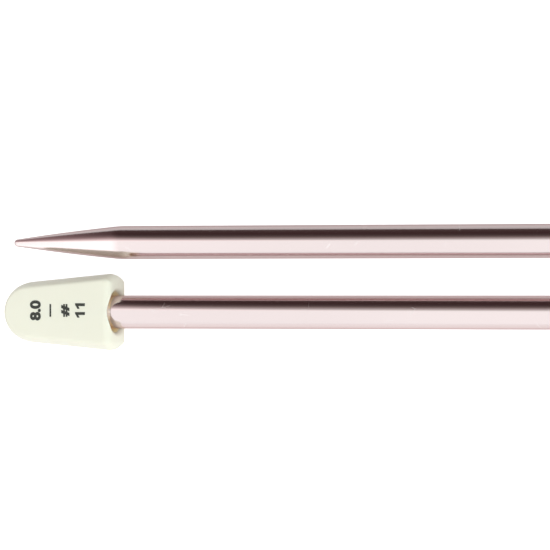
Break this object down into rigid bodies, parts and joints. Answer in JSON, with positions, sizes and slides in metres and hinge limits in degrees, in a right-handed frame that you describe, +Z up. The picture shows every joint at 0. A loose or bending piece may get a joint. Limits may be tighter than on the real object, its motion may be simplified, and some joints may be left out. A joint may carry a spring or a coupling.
{
  "type": "pair of straight knitting needles",
  "caption": "Pair of straight single-point knitting needles in pink anodised aluminium with flattened ivory plastic heads, lying side by side, head to point.",
  "frame": {"origin": "on the table, under the centre of the pair", "axes": "+X along the needles, towards the head of needle_2 and the point of needle_1; +Z up, away from the table"},
  "size_m": [0.255, 0.0352, 0.011],
  "materials": {
    "anodised_pink": "pale rose anodised, drawn and polished",
    "ivory_plastic": "ivory, semi-gloss moulding"
  },
  "bodies": {
    "needle_1": {"needle_1_shaft": "anodised_pink", "needle_1_head": "ivory_plastic"},
    "needle_2": {"needle_2_shaft": "anodised_pink", "needle_2_head": "ivory_plastic"}
  },
  "joints": [
    {"name": "needle_2_lift", "type": "slide", "parent": "needle_1", "child": "needle_2", "axis": [0, 0, 1], "range_m": [0, 0.06]}
  ]
}
